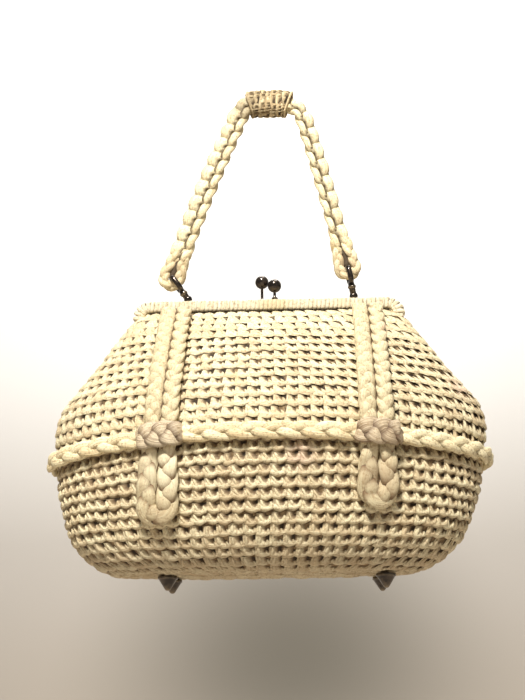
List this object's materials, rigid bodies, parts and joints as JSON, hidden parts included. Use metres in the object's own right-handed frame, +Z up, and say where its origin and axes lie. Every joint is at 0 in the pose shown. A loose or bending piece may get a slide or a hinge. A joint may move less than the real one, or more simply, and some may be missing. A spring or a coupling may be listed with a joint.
{
  "type": "straw handbag",
  "caption": "Crocheted straw handbag with a snap frame, a doubled plait handle on metal links, plaited straps under a plaited band, and tapered metal feet.",
  "frame": {"origin": "hang point, the underside of the sleeve at the top of the handle", "axes": "+Z up, +X to the right seen from the front, the front faces -Y"},
  "size_m": [0.3164, 0.1406, 0.3973],
  "materials": {
    "straw_crochet": "dry crocheted straw, pale cream",
    "straw_plait": "plaited straw, pale cream, soft sheen",
    "straw_wound": "straw strands wound close together",
    "dark_bronze": "dark antique bronze, worn bright on edges"
  },
  "bodies": {
    "root": {"body": "straw_crochet", "frame_front": "straw_wound", "frame_back": "straw_wound", "hinge_pin_left": "dark_bronze", "hinge_pin_right": "dark_bronze", "clasp_back": "dark_bronze", "clasp_front": "dark_bronze", "link_left": "dark_bronze", "link_right": "dark_bronze", "handle_loop": "straw_plait", "handle_sleeve": "straw_crochet", "strap_front_left": "straw_plait", "strap_front_right": "straw_plait", "strap_back_left": "straw_plait", "strap_back_right": "straw_plait", "keeper_front_left": "straw_plait", "keeper_front_right": "straw_plait", "keeper_back_left": "straw_plait", "keeper_back_right": "straw_plait", "band_front": "straw_plait", "band_right": "straw_plait", "band_back": "straw_plait", "band_left": "straw_plait", "foot_front_left": "dark_bronze", "foot_front_right": "dark_bronze", "foot_back_left": "dark_bronze", "foot_back_right": "dark_bronze"}
  },
  "joints": []
}
